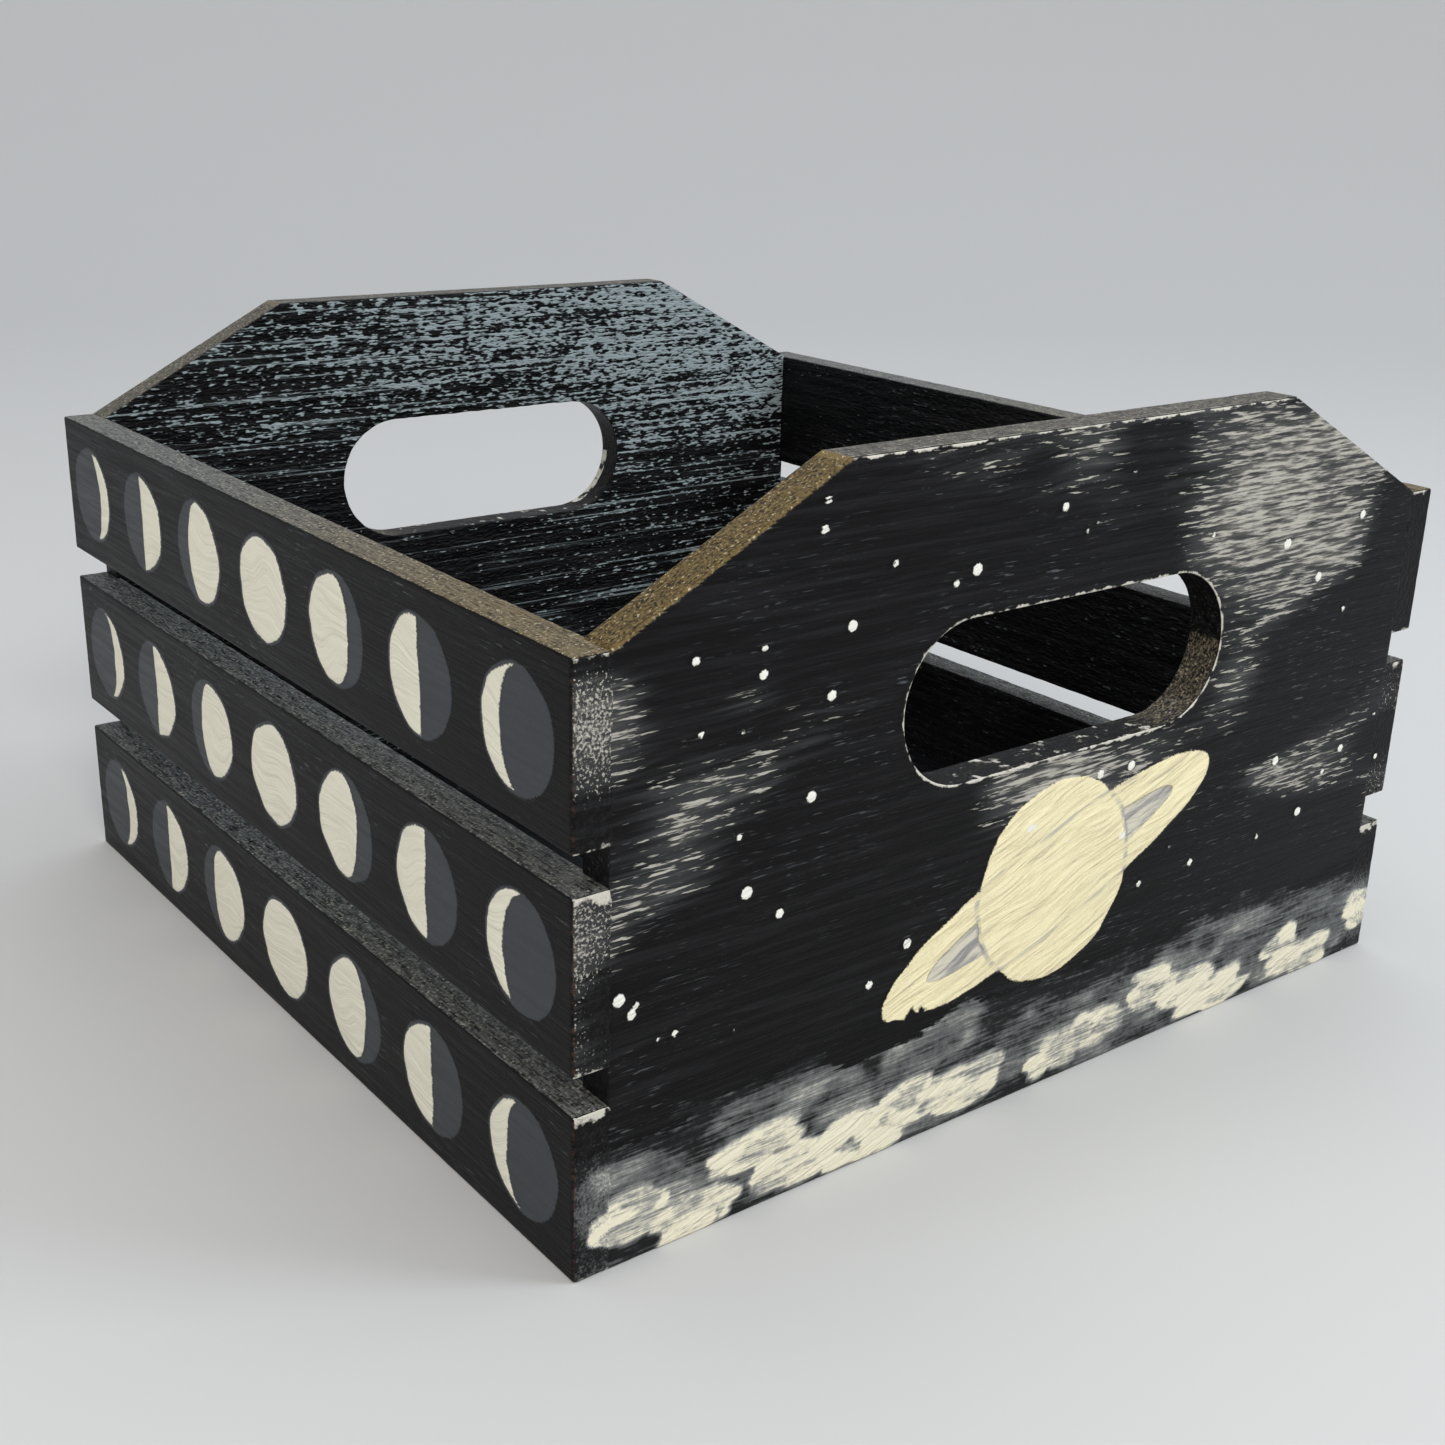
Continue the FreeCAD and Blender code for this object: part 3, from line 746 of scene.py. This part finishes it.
def make_end_board(node, outward, with_planet, seed):
    """One end board.  outward is -1 at the front and 1 at the rear."""
    outer_y = outward * cad_high.y / MM
    points, faces = board_solid(outer_y, -outward)

    def marks(points, normals):
        x, z = points[:, 0], points[:, 2]
        outer = normals[:, 1] * outward > FACING
        inner = normals[:, 1] * outward < -FACING
        wall = ~outer & ~inner
        hole = wall & (hole_gap(x, z) < 0.6)
        found = laid_on(outer, night_sky(x[outer] * -outward, z[outer], with_planet), {})
        chamfer = wall & ~hole & (z > SHOULDER_HEIGHT - 1) & (np.abs(normals[:, 0]) > 0.2)
        left = x < 0
        top = wall & ~hole & (normals[:, 2] > 0.9)
        # Rubbed-edge tint: a painted sheen on the chamfers, stronger on the left, and on the top, warm
        # brown on the front board's left chamfer; on the hand hole's wall, stronger at its lower right; on
        # the inner face, a painted sheen growing upwards.
        found["rub_and_sheen"] = (
            0.64 * (chamfer & left) + 0.28 * (chamfer & ~left) + 0.6 * top
            + hole * (0.22 + 0.30 * smooth_step(x * -outward, 20, 40) * (z < HOLE_CENTRE))
            + 0.10 * inner * smooth_step(z, 60, 150)
        )
        found["warm_tint"] = (1.0 if outward < 0 else 0.4) * (chamfer & left) + 0.35 * top + 0.6 * hole
        chamfer_width = HALF_WIDTH - PEAK_HALF_WIDTH
        chamfer_rise = PEAK_HEIGHT - SHOULDER_HEIGHT
        to_chamfer = (
            (HALF_WIDTH - np.abs(x)) * chamfer_rise + (SHOULDER_HEIGHT - z) * chamfer_width
        ) / math.hypot(chamfer_width, chamfer_rise)
        # Painted highlights along the face's front edge of each chamfer, stronger and warmer on the left.
        front_edge_highlight = outer * smooth_step(to_chamfer, 1.3, 0.2) * (z > SHOULDER_HEIGHT - 1)
        found["rub_and_sheen"] = found["rub_and_sheen"] + front_edge_highlight * np.where(left, 0.8, 0.35)
        found["warm_tint"] = found["warm_tint"] + front_edge_highlight * np.where(left, 1.0, 0.2)
        chalk = hole & (normals[:, 2] > 0.8)
        crescent = (
            hole & (outward > 0) & (x > 38) & (z < HOLE_CENTRE) & (np.abs(points[:, 1] - outer_y) < 3.2))
        # The painted highlight line along the top's front edge, on the top and on the face; on the face
        # cream also runs round the hole's rim.
        top_edge_highlight = top * smooth_step(np.abs(points[:, 1] - outer_y), 1.6, 0.4)
        found["lip"] = np.select(
            [outer, crescent, chalk, top_edge_highlight > 0.1],
            [np.maximum(0.5 - hole_gap(x, z), 0.5 + z - PEAK_HEIGHT), 0.2, -0.38, 0.8 * top_edge_highlight - 0.3],
            -3.0)
        found["bare"] = 0.0 * x
        found["inside"] = 1.0 * inner
        # Painted highlight flecks on the inner face, growing towards the top and with x.
        found["painted_highlight"] = inner * np.clip(
            0.17 + 0.48 * smooth_step(z, 70, 140) + 0.0020 * x + 0.12 * rough(x, z, 40, 9, seed + 21), 0, 1)
        return found

    def relief(points, normals, sky):
        x, z = points[:, 0], points[:, 2]
        outer = normals[:, 1] * outward > FACING
        inner = normals[:, 1] * outward < -FACING
        wall = ~outer & ~inner
        grain = rough(x, z, 40, 2.4, seed, 2)
        lumps = np.abs(rough(x, z, 9, 3.0, seed + 7, 2))
        ridges = (1 - lumps) * (0.5 + 0.5 * smooth_step(rough(x, z, 60, 5, seed + 9), -0.6, 0.6))
        rough_wall = 0.10 * rough(x + points[:, 1], z, 2.4, 2.4, seed + 11)
        lip = outer * smooth_step(hole_gap(x, z), 1.6, 0.2) * 0.10
        return (
            outer * (FILM + 0.03 * grain + paint_relief(sky, x, z)) + lip
            + inner * (0.05 * grain + 0.16 * ridges)
            + wall * (rough_wall * (hole_gap(x, z) < 1.0) + 0.04 * rough(x, z, 6, 6, seed + 13))
        )

    return painted_piece(
        node + "_painted", node, points, faces, relief, marks, board_paint)


board_paint = night_paint("night_sky_paint", 0, CREAM, CREAM_DEEP, 0.5, 1.9)
make_end_board("front_end_board", -1, True, 101)
make_end_board("rear_end_board", 1, False, 131)

# ---------------------------------------------------------------- side slats
# Three strips of the same stock a side, lapped over the end boards' edges and nailed there.
# Their outer faces carry the phases of the moon, and their top edges a pewter-grey painted sheen.

SLAT_EASE = 0.5
SLAT_PITCH = 0.56       # spacing of the points round a slat
# The phases of the moon in their usual order, evenly spaced in one straight row on each slat.
MOON_COUNT = 7
MOON_RADIUS = 12.5
MOON_OUTLINE = 0.8      # how far the slate undercoat shows past a moon


def plank_solid(low, high, pitch):
    """A plank from low to high, in mm, whose length is along Y: a rectangle with rounded
    corners carried along it, eased in at each end and then shrunk to the end's middle line."""
    half_x, half_z = (high[0] - low[0]) / 2, (high[2] - low[2]) / 2
    corners = ((1, -1, -90), (1, 1, 0), (-1, 1, 90), (-1, -1, 180))
    arcs = []
    for side, level, start in corners:
        angle = np.radians(np.linspace(start, start + 90, 4))
        arcs.append(np.stack([
            side * (half_x - SLAT_EASE) + SLAT_EASE * np.cos(angle),
            level * (half_z - SLAT_EASE) + SLAT_EASE * np.sin(angle)], 1))
    section = []
    for arc, following in zip(arcs, arcs[1:] + arcs[:1]):
        steps = round(float(np.abs(following[0] - arc[-1]).max()) / pitch)
        share = np.linspace(0, 1, steps + 1)[1:-1, None]
        section += [arc, arc[-1] + share * (following[0] - arc[-1])]
    section = np.concatenate(section + [arcs[0][:1]])
    thin = min(half_x, half_z)
    cap = np.linspace(thin, SLAT_EASE, round(thin / pitch / 0.8) + 1)
    round_turn = np.linspace(0, math.pi / 2, 4)[1:]
    inset = np.concatenate([cap, SLAT_EASE * (1 - np.sin(round_turn))])
    start = np.concatenate([0 * cap, SLAT_EASE * (1 - np.cos(round_turn))])
    length = high[1] - low[1]
    body = np.linspace(SLAT_EASE, length - SLAT_EASE, round(length / pitch / 1.2))[1:-1]
    inset = np.concatenate([inset, 0 * body, inset[::-1]])[:, None]
    along = np.concatenate([start, body, (length - start)[::-1]])[:, None]
    x = (low[0] + high[0]) / 2 + section[:, 0] * (half_x - inset) / half_x
    z = (low[2] + high[2]) / 2 + section[:, 1] * (half_z - inset) / half_z
    y = low[1] + along + 0 * x
    return np.stack([x, y, z], -1).reshape(-1, 3), grid_faces(*x.shape)


def moon_marks(u, z, length, level):
    """The row of moons at u along a slat and height z: how far inside each disc, and inside its
    lit part, which stops at half an oval that is as high as the disc.  The lit share of the
    width grows evenly to the middle moon, which is full, and shrinks evenly after it."""
    disc, lit = np.full(u.shape, NOWHERE), np.full(u.shape, NOWHERE)
    wobble = 0.55 * rough(u, z, 7, 7, 81, 2)
    full = MOON_COUNT // 2
    for number in range(MOON_COUNT):
        at_u = length * (number + 0.5) / MOON_COUNT
        lit_share = 1 - abs(number - full) / (full + 1)
        side = 1 if number <= full else -1
        within = MOON_RADIUS - np.hypot(u - at_u, z - level)
        half_chord = np.sqrt(np.maximum(MOON_RADIUS ** 2 - (z - level) ** 2, 0))
        beyond = side * (u - at_u) + (2 * lit_share - 1) * half_chord
        disc = np.maximum(disc, within + MOON_OUTLINE)
        lit = np.maximum(lit, np.minimum(within, beyond))
    none = 0 * u
    return {
        "planet": lit + wobble, "shadow": disc + wobble * 0.6, "halo": none,
        "swirl": np.stack([u, z, none], 1),
        "brush": np.stack([
            0.7 * u + 3 * patches(u, z, 8, 8, 85), z + 3.5 * patches(u, z, 9, 9, 86), none], 1),
    }


def make_slat(node, side, seed):
    """One side slat.  side is -1 on the left and 1 on the right."""
    low, high = (np.array(corner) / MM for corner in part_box(node))
    points, faces = plank_solid(low, high, SLAT_PITCH)

    def found_on(points, normals):
        x, y, z = points.T
        outer = normals[:, 0] * side > FACING
        front, rear = normals[:, 1] < -FACING, normals[:, 1] > FACING
        found = laid_on(front, night_sky(x[front], z[front], True), {})
        laid_on(rear, night_sky(-x[rear], z[rear], False), found)
        return laid_on(outer, moon_marks(
            high[1] - y[outer], z[outer], high[1] - low[1], (low[2] + high[2]) / 2), found)

    def marks(points, normals):
        x, y, z = points.T
        found = found_on(points, normals)
        inner = normals[:, 0] * side < -FACING
        end = np.abs(normals[:, 1]) > FACING
        top, bottom = normals[:, 2] > 0.6, normals[:, 2] < -0.6
        nearness = smooth_step(y, 60, -120)
        uppermost = high[2] > SHOULDER_HEIGHT - 1
        # The top edges carry a painted sheen, warmer towards the front end, most on the uppermost slat; the
        # undersides a little of the same tint.
        found["rub_and_sheen"] = top * (0.70 if uppermost else 0.62) + bottom * 0.12
        found["warm_tint"] = top * (0.7 * nearness + 0.1 if uppermost else 0.12 * nearness)
        # Cream on the slat ends along their top and bottom edges and down from the top: painted highlights
        # mixed with paint smears.
        to_edge = np.minimum(z - low[2], high[2] - z)
        smear_and_highlight = 0.42 if high[2] < SHOULDER_HEIGHT - 1 else 0.1
        found["lip"] = np.where(end, np.maximum(0.1 - 0.5 * to_edge, smear_and_highlight - 0.3 * (high[2] - z)), -3.0)
        corner = np.maximum(np.abs(x - side * cad_high.x / MM), np.minimum(y - low[1], high[1] - y))
        found["bare"] = 0.62 * smooth_step(corner, 1.1, 0.2)
        found["inside"] = 1.0 * inner + 0.3 * top
        # A faint painted highlight on the slat's inner face.
        found["painted_highlight"] = 0.06 * inner
        return found

    def relief(points, normals, found):
        x, y, z = points.T
        outer = normals[:, 0] * side > FACING
        end = np.abs(normals[:, 1]) > FACING
        inner = normals[:, 0] * side < -FACING
        edge = ~outer & ~end & ~inner
        grain = rough(y, z, 34, 1.9, seed, 2)
        painted = paint_relief(found, np.where(end, x, y), z)
        painted = painted + 0.03 * smooth_step(found["shadow"], -0.4, 0.6)
        return (
            (outer | end) * (FILM + 0.03 * grain + painted)
            + inner * (0.05 * grain + 0.10 * (1 - np.abs(rough(y, z, 8, 2.6, seed + 3, 2))))
            + edge * (FILM * 0.5 + 0.05 * rough(y, x, 3.5, 2.2, seed + 5, 2))
        )

    painted_piece(node + "_painted", node, points, faces, relief, marks, slat_paint)


slat_paint = night_paint("moon_phase_paint", 1, MOON_CREAM, MOON_DEEP, 0.1, 0.8)
for side_name, side in (("left", -1), ("right", 1)):
    make_slat(side_name + "_lower_slat", side, 201 + side)
    make_slat(side_name + "_middle_slat", side, 221 + side)
    make_slat(side_name + "_upper_slat", side, 241 + side)

# ---------------------------------------------------------------- floor slats
# Five strips laid between the end boards and nailed through them.  They are brushed black
# like the inside, with the grain standing proud along their length.

FLOOR_PITCH = 1.2
MARKS_AWAY = ("planet", "ring", "gap", "bank", "cloud", "star", "shadow", "lip")
MARKS_AT_ZERO = ("halo", "tone", "rub_and_sheen", "warm_tint", "bare", "painted_highlight")


def make_floor_slat(number, paint):
    """One floor slat, counted from the left: a plank with no painting on it."""
    node = f"floor_slat_{number}"
    low, high = (np.array(corner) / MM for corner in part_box(node))
    points, faces = plank_solid(low, high, FLOOR_PITCH)

    def marks(points, normals):
        count = len(points)
        found = {mark: np.full(count, NOWHERE) for mark in MARKS_AWAY}
        found.update({mark: np.zeros(count) for mark in MARKS_AT_ZERO})
        found.update({"swirl": points.copy(), "brush": points.copy()})
        found["rub_and_sheen"] = 0.16 * (np.abs(normals[:, 2]) < FACING)
        found["inside"] = np.full(count, 0.5)
        return found

    def relief(points, normals, found):
        x, y, z = points.T
        face = np.abs(normals[:, 2]) > FACING
        return face * (0.04 + 0.05 * rough(y, x, 40, 2.8, 300 + number, 2))

    painted_piece(node + "_painted", node, points, faces, relief, marks, paint)


floor_paint = night_paint("floor_black_paint", 1, CREAM, CREAM_DEEP, 0.0, 0.0)
for number in range(1, 6):
    make_floor_slat(number, floor_paint)

# ---------------------------------------------------------------- brads
# Fine steel brads, two at each end of each slat, driven flush.  The paint covers their
# heads, so they keep their drawn shape and only need the look of bright drawn wire.

wire = Shading("bright_brad_wire")
drawn = wire.noise((6, 6, 0.4), 3)
tarnish = wire.noise((4, 4, 4), 3)
wire_colour = wire.blend(wire.step(tarnish, 0.4, 0.7), (0.56, 0.56, 0.55), (0.30, 0.27, 0.24))
wire.feed(wire.shader.inputs["Base Color"], wire_colour)
wire.feed(wire.shader.inputs["Roughness"], wire.mix(drawn, 0.22, 0.5))
wire.shader.inputs["Metallic"].default_value = 1.0
wire_bump = wire.node("ShaderNodeBump")
wire_bump.inputs["Distance"].default_value = 0.00005
wire.feed(wire_bump.inputs["Height"], drawn)
wire.feed(wire.shader.inputs["Normal"], wire_bump.outputs["Normal"])
for group in ("left_slat_brads", "right_slat_brads", "front_floor_brads", "rear_floor_brads"):
    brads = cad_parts[group]
    if not brads.material_slots:
        brads.data.materials.append(wire.material)
    for slot in brads.material_slots:
        slot.material = wire.material
